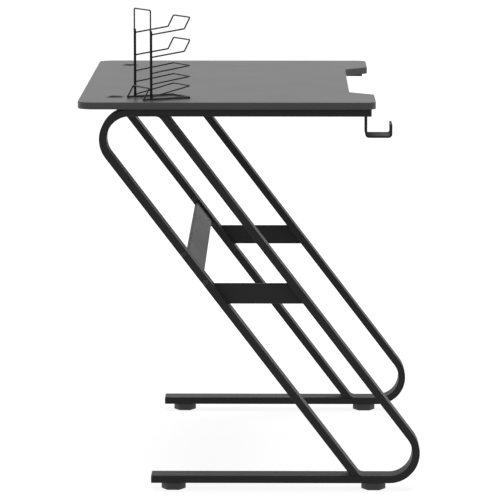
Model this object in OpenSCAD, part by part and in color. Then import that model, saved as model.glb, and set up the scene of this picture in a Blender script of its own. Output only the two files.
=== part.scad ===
// Gaming desk with two Z-shaped tube legs, a bay in the front edge, a headphone hook under the
// table top and a free-standing wire rack on it. Lengths are millimetres, angles are degrees.
// X runs along the desk, the user sits on the -Y side and Z is up. The origin lies on the floor,
// under the middle of the desk's outline.

/* [Table top] */
// Length of the table top
desk_w = 900; // [820:10:1400]
// Height of the table top above the floor
desk_h = 750; // [700:5:800]
// Depth of the table top, from the rear edge to the front lips
board_d = 566; // [520:2:640]
// Thickness of the board
board_t = 13.5; // [12:0.5:25]
// Thickness of the edge band
band_t = 1; // [0.4:0.1:2]
// Radius of the board's rear corners
rear_corner = 30; // [10:1:60]
// Radius of the board's front corners
front_corner = 20; // [10:1:40]
// Width of the bay where it opens in the front edge
bay_w = 586; // [540:2:640]
// Width of the bay along its bottom
bay_floor_w = 490; // [440:2:520]
// Depth of the bay
bay_d = 47; // [35:1:60]
// Radius where the bay meets the front lips
bay_lip_r = 15; // [6:1:24]
// Radius at the ends of the bay's bottom
bay_floor_r = 20; // [6:1:30]

/* [Cable grommets] */
// Outer diameter of a grommet's flange
grommet_d = 36; // [34:1:60]
// Thickness of a grommet's flange
grommet_flange_t = 1; // [0.8:0.1:3]
// Diameter of the cable way through a grommet
grommet_bore_d = 28; // [18:1:29]
// Wall of a grommet's barrel
grommet_wall = 1.5; // [1:0.1:1.6]
// Distance of a grommet's axis from the end of the table top
grommet_inset = 109; // [80:1:140]
// Distance of a grommet's axis from the rear edge
grommet_rear = 68; // [50:1:72]

/* [Leg tubes] */
// Width of the leg tube, along the desk
tube_w = 50; // [38:1:60]
// Thickness of the leg tube, in the plane of the leg
tube_t = 14.5; // [14:0.5:18]
// Wall of the leg tube
tube_wall = 1.2; // [0.8:0.1:1.5]
// Outer radius of the leg tube's four edges
tube_corner = 2; // [1.8:0.1:4]
// Outer radius of the large bends
bend_r = 58.5; // [50:0.5:70]
// How much a bend draws the wall thinner on each face
bend_draw = 0.05; // [0.03:0.01:0.1]
// How far a straight run laps over the end of a bend
bend_lap = 1; // [0.8:0.1:1.5]
// Distance between the middles of a leg's two diagonals, square to them
leg_gap = 129.5; // [115:0.5:145]
// Distance of a leg's outer face from the end of the table top
leg_inset = 9.5; // [5:0.5:30]
// How far the feet reach in front of the table top
foot_reach = 87.5; // [70:0.5:105]
// Distance of the upper bend from the table top's rear edge
bend_setback = 40.5; // [25:0.5:60]
// Distance of the top bar's front end from the front lips
bar_setback = 8; // [4:1:20]
// Distance of the foot bar's rear end from the table top's rear edge
foot_setback = 137; // [110:1:160]

/* [Leg braces] */
// Height of a brace's section
brace_h = 38.5; // [30:0.5:50]
// Thickness of a brace, along the desk
brace_t = 15; // [10:1:25]
// Height of a brace's middle above the middle of the leg
brace_rise = 4.5; // [-30:0.5:30]

/* [End caps] */
// Thickness of an end cap's visible flange
cap_flange = 3; // [2:0.5:5]
// Depth of an end cap's plug in the tube
cap_plug = 12; // [8:1:16]
// Wall of an end cap's plug
cap_wall = 2; // [1.5:0.1:2.5]

/* [Cross panel] */
// Width of the cross panel, along the slope of the diagonals
panel_w = 52; // [46:1:54]
// Thickness of the panel's sheet steel
panel_sheet = 1.5; // [1:0.1:2]
// Depth of the panel's folded edges
panel_fold = 6; // [5:0.5:7]
// Height of the panel's middle above the middle of the leg
panel_rise = 56.5; // [50:0.5:100]
// How far the panel's face stands in front of the diagonals' middle
panel_face = 1.5; // [0:0.5:2.5]
// Length of an end plate
ear_l = 84; // [82:1:96]
// Width of an end plate
ear_w = 14; // [12:0.5:14]
// Thickness of an end plate
ear_t = 2; // [1.5:0.1:3]
// Distance between the two bolts of an end plate
ear_pitch = 68; // [66:1:70]

/* [Fasteners] */
// Diameter of the cross panel's and the board's machine bolts
bolt_d = 6; // [5:0.5:6]
// Diameter of a machine bolt's head
bolt_head_d = 10.5; // [10:0.5:11]
// Height of a machine bolt's head
bolt_head_h = 3; // [2.5:0.1:3.5]
// Width across the flats of a head's hexagon socket
socket_w = 4; // [3:0.5:5]
// Depth of a head's hexagon socket
socket_depth = 1.8; // [1:0.1:2]
// Width across the flats of a cross panel nut
nut_w = 10; // [9:0.5:11]
// Height of a cross panel nut
nut_h = 5; // [4:0.5:6]
// Diameter of a threaded insert in the board
insert_d = 9; // [8:0.5:10]
// Length of a threaded insert in the board
insert_l = 10; // [8:0.5:11]
// Length of a board bolt above its head
board_bolt_l = 10; // [8:0.5:11]
// Diameter of the access holes under the board bolts
access_d = 14; // [12.5:0.5:16]
// Distance of the outer board bolts from the ends of the top bar's straight run
board_bolt_inset = 35; // [28:1:45]
// Diameter of a hook screw
screw_d = 4; // [3:0.5:5]
// Diameter of a hook screw's head
screw_head_d = 8; // [7:0.5:9]
// Height of a hook screw's head
screw_head_h = 2.4; // [2:0.1:3]
// Length of a hook screw below its head
screw_l = 13; // [10:0.5:14]
// Radial clearance of a thread in its nut or insert
fit_gap = 0.1; // [0.05:0.01:0.1]
// Radial clearance of a bolt in a plain hole
hole_gap = 0.3; // [0.2:0.05:0.5]

/* [Levelling glides] */
// Height of a glide's pad
glide_h = 14.5; // [12:0.5:20]
// Width of a pad across its corners
glide_d = 47; // [42:1:54]
// Chamfer round the top and the underside of a pad
glide_chamfer = 0.8; // [0.5:0.1:2]
// Diameter of a glide's stud
stud_d = 8; // [7:0.5:9]
// Depth of the stud's foot moulded in the pad
stud_root = 9; // [6:0.5:10]
// Width across the flats of a foot nut
foot_nut_w = 13; // [12:0.5:14]
// Height of a foot nut
foot_nut_h = 8; // [7:0.5:9]
// Distance of the rear glides' axes from the foot bar's rear end
glide_rear = 43; // [35:1:60]
// Distance of the front glides' axes from the start of the lower bend
glide_front = 30; // [26:1:34]

/* [Headphone hook] */
// Width of the hook's strap
hook_w = 72; // [50:1:90]
// Thickness of the hook's strap
hook_t = 4; // [2:0.5:5]
// Depth of the hook, outside
hook_reach = 52; // [40:0.5:60]
// How far the hook hangs below the board
hook_drop = 61; // [50:0.5:80]
// Height of the hook's front lip, outside
hook_lip = 25.5; // [18:0.5:35]
// Length of the hook's flange under the board
hook_flange = 44; // [36:1:60]
// Radius of the hook's bends, at the middle of the strap
hook_bend = 5.5; // [3:0.1:6]
// Distance of the hook's rear face from the front lips
hook_setback = 19; // [14:0.5:40]
// Gap between the hook and the leg beside it
hook_leg_gap = 8; // [4:1:30]
// Distance between the hook's two screws
hook_screw_pitch = 40; // [28:1:44]

/* [Controller rack] */
// Distance between the rack's posts
rack_w = 67; // [60:1:110]
// How far the rack reaches in front of its posts
rack_reach = 83.5; // [74:0.5:95]
// How far the base reaches behind the posts
rack_heel = 16; // [14:0.5:20]
// Height of the rack, to the top of its loop
rack_h = 172.5; // [160:0.5:200]
// Height of the rack's posts
post_h = 132; // [130:1:145]
// Diameter of a post
post_d = 5; // [4.5:0.5:6]
// Diameter of the base's wire
base_wire_d = 4; // [3.5:0.5:5]
// Diameter of the loop, hook and stay wire
loop_wire_d = 3; // [2.5:0.1:3.4]
// Diameter of the shelf wire
shelf_wire_d = 2.7; // [2:0.1:3]
// Radius of the rack's corners, at the middle of the wire
wire_bend = 3; // [3:0.5:6]
// Height of the stay's cross wire
stay_h = 23; // [18:0.5:24]
// Height of the lowest shelf at the posts
bottom_shelf_z = 6.5; // [6:0.5:8]
// Height of the middle shelf at the posts
middle_shelf_z = 30.5; // [28:0.5:32]
// Height of the top shelf at the posts
top_shelf_z = 51.5; // [49:0.5:56]
// Rise of the lowest shelf to its front
bottom_shelf_rise = 17.5; // [14:0.5:18]
// Rise of the two other shelves to their front
shelf_rise = 11.5; // [9:0.5:14]
// Height of the lower hook at the posts
lower_hook_z = 82; // [78:1:86]
// Height of the upper hook at the posts
upper_hook_z = 125; // [118:1:126]
// Rise of a hook's arms
hook_rise = 8.5; // [7:0.5:12]
// Height of a hook's turned-up tip
tip_rise = 21.5; // [18:0.5:24]
// How far a hook's tip leans out
tip_reach = 12; // [9:0.5:15]
// Turn of the rack on the table top
rack_turn = 29.4; // [15:0.1:35]
// Distance of the rack's middle from the end of the table top
rack_inset = 67; // [62:1:120]
// Distance of the rack's middle from the rear edge
rack_rear = 123; // [118:1:150]
// Clearance between the rack and the table top
rack_gap = 0.3; // [0.2:0.05:0.5]
// Gap at the butt joint of a wire and a post
weld_gap = 0.3; // [0.2:0.05:0.5]

/* [Hidden] */
$fn = 64;
LEFT = -1;
RIGHT = 1;
overrun = tube_t;

// Places along Y: the outline is centred on the origin
rear_y = (board_d + foot_reach) / 2;
front_y = -rear_y;
lip_y = rear_y - board_d;
bar_front_y = lip_y + bar_setback;
foot_rear_y = rear_y - foot_setback;

// Heights
board_z = desk_h - board_t;
bar_z = board_z - tube_t / 2;
bar_under_z = board_z - tube_t;
foot_z = glide_h + tube_t / 2;
foot_top_z = glide_h + tube_t;
leg_middle_z = (glide_h + board_z) / 2;
brace_z = leg_middle_z + brace_rise;
panel_z = leg_middle_z + panel_rise;

// Places along X
leg_x = desk_w / 2 - leg_inset - tube_w / 2;
leg_inner_x = leg_x - tube_w / 2;

// Middles of the large bends and the diagonals that leave them, in the leg's Y-Z plane. The
// diagonals lean so that they keep their distance
bend_mid_r = bend_r - tube_t / 2;
upper_c = [rear_y - bend_setback - bend_r, board_z - bend_r];
lower_c = [front_y + bend_r, glide_h + bend_r];
between_bends = upper_c - lower_c;
lean = atan2(between_bends.y, between_bends.x)
       + asin((leg_gap - 2 * bend_mid_r) / norm(between_bends));
lean_normal = [sin(lean), -cos(lean)];
rear_tangent = upper_c + bend_mid_r * lean_normal;
front_tangent = lower_c - bend_mid_r * lean_normal;
half_slant = tube_t / 2 / sin(lean);
function rear_diagonal_y(z) = rear_tangent.x + (z - rear_tangent.y) / tan(lean);
function front_diagonal_y(z) = front_tangent.x + (z - front_tangent.y) / tan(lean);

// Board bolts along a top bar, and glides along a foot bar
board_bolt_ys = [bar_front_y + board_bolt_inset, (bar_front_y + upper_c.x) / 2,
                 upper_c.x - board_bolt_inset];
glide_front_y = lower_c.x + glide_front;
glide_rear_y = foot_rear_y - glide_rear;

// Middle of the cross panel on the rear diagonal, and its two bolts
panel_c = [rear_diagonal_y(panel_z), panel_z];
slope = [cos(lean), sin(lean)];
panel_bolt_places = [panel_c + slope * ear_pitch / 2, panel_c - slope * ear_pitch / 2];

// Middle of the hook along X, and the middle lines of its strap
hook_x = -leg_inner_x + hook_leg_gap + hook_w / 2;
hook_back_y = lip_y + hook_setback - hook_t / 2;
hook_front_y = lip_y + hook_setback - hook_reach + hook_t / 2;
hook_floor_z = board_z - hook_drop + hook_t / 2;
hook_flange_z = board_z - hook_t / 2;
hook_rear_y = lip_y + hook_setback + hook_flange - hook_t;
hook_screw_y = (lip_y + hook_setback + hook_rear_y) / 2;

function unit(v) = v / norm(v);
function at_leg(p, x = 0) = [x, p.x, p.y];
function square_to(d) = unit(cross(d, abs(d.z) > abs(d.x) ? [1, 0, 0] : [0, 0, 1]));
function bend_angle(a, b, c) = acos(unit(b - a) * unit(c - b));

// Places what is drawn on axes x, y and z with its origin at p
module placed(x, y, z, p)
  multmatrix([[x.x, y.x, z.x, p.x], [x.y, y.y, z.y, p.y], [x.z, y.z, z.z, p.z], [0, 0, 0, 1]])
    children();

// Draws a Y-Z outline as a solid from x to x + length
module in_leg_plane(x, length)
  translate([x, 0, 0]) rotate([90, 0, 90]) linear_extrude(length) children();

// One straight run from corner a, between two distances from it in direction d. The section's x
// lies in the plane of the bends
module straight_run(a, d, from, to, across)
  translate(a) placed(cross(across, d), across, d, d * from) linear_extrude(to - from) children();

// One round bend at corner b, tangent to a-b and b-c
module round_bend(a, b, c, r) {
  turn = bend_angle(a, b, c);
  into = unit(b - a);
  out = unit(c - b);
  axis = unit(cross(into, out));
  translate(b) placed(-cross(axis, into), into, axis, unit(out - into) * r / cos(turn / 2))
    rotate_extrude(angle = turn) translate([r, 0]) children();
}

// Sweeps a section along straight runs joined by bends of radius r. With a second, thinner
// section for the bends, the runs lap over their ends
module swept(path, r, across) {
  last = len(path) - 1;
  drawn = $children > 1;
  lap = drawn ? bend_lap : 0;
  setback = [for (i = [0:last]) i == 0 || i == last ? 0
             : r * tan(bend_angle(path[i - 1], path[i], path[i + 1]) / 2) - lap];
  for (i = [0:last - 1])
    straight_run(path[i], unit(path[i + 1] - path[i]), setback[i],
                 norm(path[i + 1] - path[i]) - setback[i + 1], across) children(0);
  for (i = [1:last - 1])
    round_bend(path[i - 1], path[i], path[i + 1], r) children(drawn ? 1 : 0);
}

// Round wire along a path, its corners bent at wire_bend, as rings of points joined by triangles
wire_sides = 12;
bend_rings = 5;

function spun(v, axis, a) = v * cos(a) + cross(axis, v) * sin(a) + axis * (axis * v) * (1 - cos(a));
function ring(p, u, v, r) =
  [for (i = [0:wire_sides - 1]) p + r * (u * cos(360 * i / wire_sides) + v * sin(360 * i / wire_sides))];

// Rings from corner i of the path to its end, on a frame u, v square to the wire
function wire_rings(path, i, u, v, r) =
  i == len(path) - 1 ? [ring(path[i], u, v, r)] :
  let (into = unit(path[i] - path[i - 1]), out = unit(path[i + 1] - path[i]),
       turn = bend_angle(path[i - 1], path[i], path[i + 1]),
       axis = unit(cross(into, out)),
       centre = path[i] + unit(out - into) * wire_bend / cos(turn / 2),
       spoke = -cross(axis, into) * wire_bend)
  concat([for (j = [0:bend_rings]) let (a = turn * j / bend_rings)
            ring(centre + spun(spoke, axis, a), spun(u, axis, a), spun(v, axis, a), r)],
         wire_rings(path, i + 1, spun(u, axis, turn), spun(v, axis, turn), r));

module wire(path, d) {
  start = unit(path[1] - path[0]);
  u = square_to(start);
  v = cross(start, u);
  rings = concat([ring(path[0], u, v, d / 2)], wire_rings(path, 1, u, v, d / 2));
  last = len(rings) - 1;
  function at(i, j) = i * wire_sides + j % wire_sides;
  polyhedron([for (one = rings) each one],
             concat([for (i = [0:last - 1], j = [0:wire_sides - 1])
                       each [[at(i, j), at(i + 1, j), at(i + 1, j + 1)],
                             [at(i, j), at(i + 1, j + 1), at(i, j + 1)]]],
                    [[for (j = [0:wire_sides - 1]) at(0, j)],
                     [for (j = [wire_sides - 1:-1:0]) at(last, j)]]));
}

// Rectangle with rounded corners, centred
module rounded_rectangle(size, r) {
  square([size.x - 2 * r, size.y], center = true);
  square([size.x, size.y - 2 * r], center = true);
  for (x = [-1, 1], y = [-1, 1])
    translate([x * (size.x / 2 - r), y * (size.y / 2 - r)]) circle(r = r, $fn = 32);
}

// Outline with a radius at each corner, drawn inset from its edges. Corners run anticlockwise
module rounded_outline(points, radii, inset = 0) {
  count = len(points);
  corners = [for (i = [0:count - 1])
    let (a = points[(i + count - 1) % count], b = points[i], c = points[(i + 1) % count],
         into = unit(b - a), out = unit(c - b),
         bulge = cross(into, out) > 0 ? 1 : -1,
         half = acos(-into * out) / 2,
         centre = b + unit(out - into) * radii[i] / sin(half),
         r = radii[i] - bulge * inset)
    [centre, r, bulge, centre + bulge * r * [into.y, -into.x],
     centre + bulge * r * [out.y, -out.x]]];
  difference() {
    union() {
      polygon([for (corner = corners) each [corner[3], corner[4]]]);
      for (corner = corners) if (corner[2] > 0) translate(corner[0]) circle(r = corner[1]);
    }
    for (corner = corners) if (corner[2] < 0) translate(corner[0]) circle(r = corner[1]);
  }
}

module hexagon(across_flats) circle(d = across_flats / cos(30), $fn = 6);

// Table top
board_outline = [[-desk_w / 2, rear_y], [-desk_w / 2, lip_y], [-bay_w / 2, lip_y],
                 [-bay_floor_w / 2, lip_y + bay_d], [bay_floor_w / 2, lip_y + bay_d],
                 [bay_w / 2, lip_y], [desk_w / 2, lip_y], [desk_w / 2, rear_y]];
board_radii = [rear_corner, front_corner, bay_lip_r, bay_floor_r,
               bay_floor_r, bay_lip_r, front_corner, rear_corner];
grommet_barrel_d = grommet_bore_d + 2 * grommet_wall;

module at_grommet(side)
  translate([side * (desk_w / 2 - grommet_inset), rear_y - grommet_rear, 0]) children();

module at_board_bolts()
  for (side = [LEFT, RIGHT], y = board_bolt_ys) translate([side * leg_x, y, 0]) children();

module at_hook_screws()
  for (x = [-1, 1]) translate([hook_x + x * hook_screw_pitch / 2, hook_screw_y, 0]) children();

module table_top() color("#5a5a5c") difference() {
  translate([0, 0, board_z]) linear_extrude(board_t)
    rounded_outline(board_outline, board_radii, band_t);
  for (side = [LEFT, RIGHT]) at_grommet(side) translate([0, 0, board_z - overrun])
    cylinder(d = grommet_barrel_d + 2 * hole_gap, h = board_t + 2 * overrun);
  at_board_bolts() translate([0, 0, board_z - overrun])
    cylinder(d = insert_d, h = insert_l + hole_gap + overrun);
  at_hook_screws() translate([0, 0, board_z - overrun])
    cylinder(d = screw_d + 2 * fit_gap, h = screw_l - hook_t + hole_gap + overrun);
}

module edge_band() color("#2c2c2e") translate([0, 0, board_z]) linear_extrude(board_t)
  difference() {
    rounded_outline(board_outline, board_radii);
    rounded_outline(board_outline, board_radii, band_t);
  }

module grommet(side) color("#1c1c1e") at_grommet(side) translate([0, 0, board_z])
  difference() {
    union() {
      cylinder(d = grommet_barrel_d, h = board_t + grommet_flange_t);
      translate([0, 0, board_t]) cylinder(d = grommet_d, h = grommet_flange_t);
    }
    translate([0, 0, -overrun]) cylinder(d = grommet_bore_d, h = board_t + 2 * overrun);
  }

// Legs
module tube_section(shrink = 0)
  rounded_rectangle([tube_t - 2 * shrink, tube_w - 2 * shrink], tube_corner - shrink);

// The tube's wall, thinned by the same amount inside and outside
module wall_section(thinned = 0) difference() {
  tube_section(thinned);
  tube_section(tube_wall - thinned);
}

module bent_tube(path) swept(path, bend_mid_r, [1, 0, 0]) {
  wall_section();
  wall_section(bend_draw);
}

module leg_slab(z, height) translate([-tube_w, front_y - tube_w, z])
  cube([2 * tube_w, rear_y - front_y + 2 * tube_w, height]);

upper_path = [at_leg([bar_front_y + cap_flange, bar_z]),
              at_leg([rear_diagonal_y(bar_z), bar_z]),
              at_leg([rear_diagonal_y(foot_z), foot_z])];
lower_path = [at_leg([foot_rear_y - cap_flange, foot_z]),
              at_leg([front_diagonal_y(foot_z), foot_z]),
              at_leg([front_diagonal_y(bar_z), bar_z])];

module upper_tube(side) color("#2b2b2d") translate([side * leg_x, 0, 0]) difference() {
  bent_tube(upper_path);
  leg_slab(0, foot_top_z);
  for (y = board_bolt_ys) translate([0, y, 0]) {
    translate([0, 0, bar_z]) cylinder(d = bolt_d + 2 * hole_gap, h = tube_t);
    translate([0, 0, bar_z - tube_t]) cylinder(d = access_d, h = tube_t);
  }
  for (p = panel_bolt_places) translate(at_leg(p, -tube_w)) rotate([0, 90, 0])
    cylinder(d = bolt_d + 2 * hole_gap, h = 2 * tube_w);
}

module lower_tube(side) color("#2b2b2d") translate([side * leg_x, 0, 0]) difference() {
  bent_tube(lower_path);
  leg_slab(bar_under_z, 2 * tube_t);
  for (y = [glide_front_y, glide_rear_y]) translate([0, y, glide_h - tube_t])
    cylinder(d = stud_d + 4 * hole_gap, h = foot_z - glide_h + tube_t);
}

module brace(side) color("#262628") translate([side * leg_x, 0, 0]) {
  z = [brace_z - brace_h / 2, brace_z + brace_h / 2];
  intersection() {
    in_leg_plane(-brace_t, 2 * brace_t)
      polygon([[front_diagonal_y(z[0]) + half_slant, z[0]], [rear_diagonal_y(z[0]) - half_slant, z[0]],
               [rear_diagonal_y(z[1]) - half_slant, z[1]], [front_diagonal_y(z[1]) + half_slant, z[1]]]);
    straight_run(at_leg([front_y, brace_z]), [0, 1, 0], 0, 2 * rear_y, [1, 0, 0]) difference() {
      rounded_rectangle([brace_h, brace_t], tube_corner);
      rounded_rectangle([brace_h - 2 * tube_wall, brace_t - 2 * tube_wall], tube_corner - tube_wall);
    }
  }
}

// End cap: a flange as wide as the tube, and an open plug inside it
module cap(side, p, d) color("#161618") placed(cross([1, 0, 0], d), [1, 0, 0], d,
                                               at_leg(p, side * leg_x)) {
  linear_extrude(cap_flange) tube_section();
  translate([0, 0, -cap_plug]) linear_extrude(cap_plug) difference() {
    tube_section(tube_wall + fit_gap);
    rounded_rectangle([tube_t - 2 * (tube_wall + cap_wall), tube_w - 2 * (tube_wall + cap_wall)],
                      tube_corner / 2);
  }
}

module bar_cap(side) cap(side, [bar_front_y + cap_flange, bar_z], [0, -1, 0]);
module foot_cap(side) cap(side, [foot_rear_y - cap_flange, foot_z], [0, 1, 0]);

// Cross panel: a shallow channel between two end plates that lie on the diagonals' inner faces
panel_back = panel_face - panel_fold;
panel_outline = [[-panel_w / 2, panel_face], [-panel_w / 2, panel_back],
                 [-panel_w / 2 + panel_sheet, panel_back],
                 [-panel_w / 2 + panel_sheet, panel_face - panel_sheet],
                 [panel_w / 2 - panel_sheet, panel_face - panel_sheet],
                 [panel_w / 2 - panel_sheet, panel_back],
                 [panel_w / 2, panel_back], [panel_w / 2, panel_face]];
panel_radii = [for (r_share = [1.6, 0.3, 0.3, 0.6, 0.6, 0.3, 0.3, 1.6]) r_share * panel_sheet];

module on_panel() translate(panel_c) rotate(lean) children();

module cross_panel() color("#3a3a3c") {
  in_leg_plane(-leg_inner_x + ear_t, 2 * (leg_inner_x - ear_t))
    on_panel() rounded_outline(panel_outline, panel_radii);
  for (x = [-leg_inner_x, leg_inner_x - ear_t]) in_leg_plane(x, ear_t) difference() {
    on_panel() rounded_rectangle([ear_l, ear_w], ear_w / 2.5);
    for (p = panel_bolt_places) translate(p) circle(d = bolt_d + 2 * hole_gap);
  }
}

// Button head with a hexagon socket, its seat at z = 0, its crown down
module bolt_head(d, h) difference() {
  translate([0, 0, -h]) cylinder(d1 = d * 2 / 3, d2 = d, h = h);
  translate([0, 0, -h - overrun]) linear_extrude(socket_depth + overrun) hexagon(socket_w);
}

module machine_bolt(length) {
  bolt_head(bolt_head_d, bolt_head_h);
  cylinder(d = bolt_d, h = length);
}

module at_panel_bolts() for (side = [LEFT, RIGHT], p = panel_bolt_places)
  translate(at_leg(p, side * (leg_x + tube_w / 2))) rotate([0, -side * 90, 0]) children();

module panel_bolts() color("#707074") at_panel_bolts() machine_bolt(tube_w + ear_t + nut_h);

module panel_nuts() color("#707074") at_panel_bolts() translate([0, 0, tube_w + ear_t])
  linear_extrude(nut_h) difference() {
    hexagon(nut_w);
    circle(d = bolt_d + 2 * fit_gap);
  }

module board_bolts() color("#707074") at_board_bolts() translate([0, 0, board_z - tube_wall])
  machine_bolt(board_bolt_l);

module board_inserts() color("#a08a50") at_board_bolts() translate([0, 0, board_z])
  linear_extrude(insert_l) difference() {
    circle(d = insert_d);
    circle(d = bolt_d + 2 * fit_gap);
  }

// Levelling glides
module at_glide(side, y) translate([side * leg_x, y, 0]) children();

module foot_nuts() color("#707074") for (side = [LEFT, RIGHT], y = [glide_front_y, glide_rear_y])
  at_glide(side, y) translate([0, 0, glide_h + tube_wall]) linear_extrude(foot_nut_h)
    difference() {
      hexagon(foot_nut_w);
      circle(d = stud_d + 2 * fit_gap);
    }

stud_base_z = glide_h - stud_root;
stud_top_z = foot_top_z - tube_wall - 2 * hole_gap;

module glide(side, y) color("#3c3c3e") at_glide(side, y) difference() {
  rotate(90) union() {
    cylinder(d1 = glide_d - 2 * glide_chamfer, d2 = glide_d, h = glide_chamfer, $fn = 6);
    translate([0, 0, glide_chamfer]) cylinder(d = glide_d, h = glide_h - 2 * glide_chamfer, $fn = 6);
    translate([0, 0, glide_h - glide_chamfer])
      cylinder(d1 = glide_d, d2 = glide_d - 2 * glide_chamfer, h = glide_chamfer, $fn = 6);
  }
  translate([0, 0, stud_base_z]) cylinder(d = stud_d, h = glide_h);
}

module stud(side, y) color("#8a8a8e") at_glide(side, y) translate([0, 0, stud_base_z])
  cylinder(d = stud_d, h = stud_top_z - stud_base_z);

// Headphone hook
hook_path = [at_leg([hook_rear_y, hook_flange_z], hook_x),
             at_leg([hook_back_y, hook_flange_z], hook_x),
             at_leg([hook_back_y, hook_floor_z], hook_x),
             at_leg([hook_front_y, hook_floor_z], hook_x),
             at_leg([hook_front_y, board_z - hook_drop + hook_lip], hook_x)];

module headphone_hook() color("#2b2b2d") difference() {
  swept(hook_path, hook_bend, [1, 0, 0]) square([hook_t, hook_w], center = true);
  at_hook_screws() translate([0, 0, board_z - overrun])
    cylinder(d = screw_d + 2 * hole_gap, h = 2 * overrun);
}

module hook_screws() color("#707074") at_hook_screws() translate([0, 0, board_z - hook_t]) {
  bolt_head(screw_head_d, screw_head_h);
  cylinder(d = screw_d, h = screw_l);
}

// Controller rack, drawn with its posts at y = 0 and its front towards -y
half_rack = rack_w / 2;
base_z = base_wire_d / 2;
arm_start_y = -post_d / 2 - weld_gap;
top_loop_y = (post_d - loop_wire_d) / 2;
stay_y = (post_d + loop_wire_d) / 2;

module on_table()
  translate([-desk_w / 2 + rack_inset, rear_y - rack_rear, desk_h + rack_gap])
    rotate(rack_turn) children();

// A wire that starts at one post, goes round the given side profile and ends at the other post
module u_wire(profile, d)
  wire([for (p = profile) [-half_rack, p.x, p.y],
        for (i = [len(profile) - 1:-1:0]) [half_rack, profile[i].x, profile[i].y]], d);

module rack_post(side) color("#202022") on_table() translate([side * half_rack, 0, base_wire_d])
  cylinder(d = post_d, h = post_h - base_wire_d);

// The loop stands on the tops of the posts, flush with their rear
module rack_top_loop() color("#202022") on_table()
  u_wire([[top_loop_y, post_h + weld_gap], [top_loop_y, rack_h - loop_wire_d / 2]], loop_wire_d);

module rack_hook(z) color("#202022") on_table()
  u_wire([[arm_start_y, z], [-rack_reach + tip_reach, z + hook_rise],
          [-rack_reach, z + hook_rise + tip_rise]], loop_wire_d);

module rack_shelf(z, rise) color("#202022") on_table()
  u_wire([[arm_start_y, z], [-rack_reach, z + rise]], shelf_wire_d);

// The base is open at the rear, where the stay's feet stand on the ends of its wire
module rack_base() color("#202022") on_table()
  u_wire([[rack_heel + loop_wire_d / 2, base_z], [-rack_reach, base_z]], base_wire_d);

module rack_rear_stay() color("#202022") on_table() difference() {
  u_wire([[rack_heel, base_z], [stay_y, stay_h]], loop_wire_d);
  translate([-rack_w, -rack_w, 0]) cube([2 * rack_w, 2 * rack_w, base_wire_d]);
}

table_top();
edge_band();
grommet(LEFT);  // left_grommet
grommet(RIGHT);  // right_grommet
upper_tube(LEFT);  // left_upper_tube
lower_tube(LEFT);  // left_lower_tube
brace(LEFT);  // left_brace
upper_tube(RIGHT);  // right_upper_tube
lower_tube(RIGHT);  // right_lower_tube
brace(RIGHT);  // right_brace
bar_cap(LEFT);  // left_bar_cap
foot_cap(LEFT);  // left_foot_cap
bar_cap(RIGHT);  // right_bar_cap
foot_cap(RIGHT);  // right_foot_cap
cross_panel();
panel_bolts();
panel_nuts();
board_bolts();
board_inserts();
foot_nuts();
glide(LEFT, glide_front_y);  // left_front_glide
glide(LEFT, glide_rear_y);  // left_rear_glide
glide(RIGHT, glide_front_y);  // right_front_glide
glide(RIGHT, glide_rear_y);  // right_rear_glide
stud(LEFT, glide_front_y);  // left_front_stud
stud(LEFT, glide_rear_y);  // left_rear_stud
stud(RIGHT, glide_front_y);  // right_front_stud
stud(RIGHT, glide_rear_y);  // right_rear_stud
headphone_hook();
hook_screws();
rack_post(LEFT);  // rack_left_post
rack_post(RIGHT);  // rack_right_post
rack_top_loop();
rack_hook(upper_hook_z);  // rack_upper_hook
rack_hook(lower_hook_z);  // rack_lower_hook
rack_shelf(top_shelf_z, shelf_rise);  // rack_top_shelf
rack_shelf(middle_shelf_z, shelf_rise);  // rack_middle_shelf
rack_shelf(bottom_shelf_z, bottom_shelf_rise);  // rack_bottom_shelf
rack_base();
rack_rear_stay();
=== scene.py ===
# Gaming desk with two Z-shaped tube legs, a headphone hook and a free-standing controller rack.
# Metres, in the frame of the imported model: X along the desk, the user on the -Y side, Z up.
import math

import bmesh
import bpy
from mathutils import Matrix, Vector


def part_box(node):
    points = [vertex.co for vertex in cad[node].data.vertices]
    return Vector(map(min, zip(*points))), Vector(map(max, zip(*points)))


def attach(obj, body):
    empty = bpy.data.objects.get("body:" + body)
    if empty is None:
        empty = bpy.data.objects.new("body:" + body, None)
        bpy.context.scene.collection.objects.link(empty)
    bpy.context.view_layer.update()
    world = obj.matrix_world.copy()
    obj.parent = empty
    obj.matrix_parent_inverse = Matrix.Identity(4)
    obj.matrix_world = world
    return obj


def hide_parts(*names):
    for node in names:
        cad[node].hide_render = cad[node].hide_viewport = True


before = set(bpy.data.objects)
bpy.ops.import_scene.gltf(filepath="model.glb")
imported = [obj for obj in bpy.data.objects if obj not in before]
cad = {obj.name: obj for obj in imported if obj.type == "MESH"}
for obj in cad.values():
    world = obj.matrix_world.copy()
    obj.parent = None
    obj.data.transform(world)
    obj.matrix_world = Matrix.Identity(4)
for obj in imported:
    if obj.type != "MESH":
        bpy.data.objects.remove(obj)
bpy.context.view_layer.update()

# Studio. A long lens looks along the desk from the user's left, a little above the table top.
# The soft light comes mostly from overhead, and a little from the front and the rear.
scene = bpy.context.scene
scene.view_settings.view_transform = "Standard"

camera_pitch, camera_yaw = 0.14099, 0.00882
camera_sensor, camera_lens = 36.0, 259.116
view_far, floor_half = 80.0, 40
studio_camera = bpy.data.cameras.new("studio_camera")
studio_camera.sensor_width = camera_sensor
studio_camera.lens = camera_lens
studio_camera.clip_end = view_far
tripod = bpy.data.objects.new("studio_camera", studio_camera)
scene.collection.objects.link(tripod)
tripod.location = (-7.2229, -0.0605, 1.4299)
gaze = Vector((math.cos(camera_pitch) * math.cos(camera_yaw),
               math.cos(camera_pitch) * math.sin(camera_yaw), -math.sin(camera_pitch)))
tripod.rotation_euler = gaze.to_track_quat("-Z", "Y").to_euler()
scene.camera = tripod

desk_middle = Vector((0, 0, 0.4))


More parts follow.
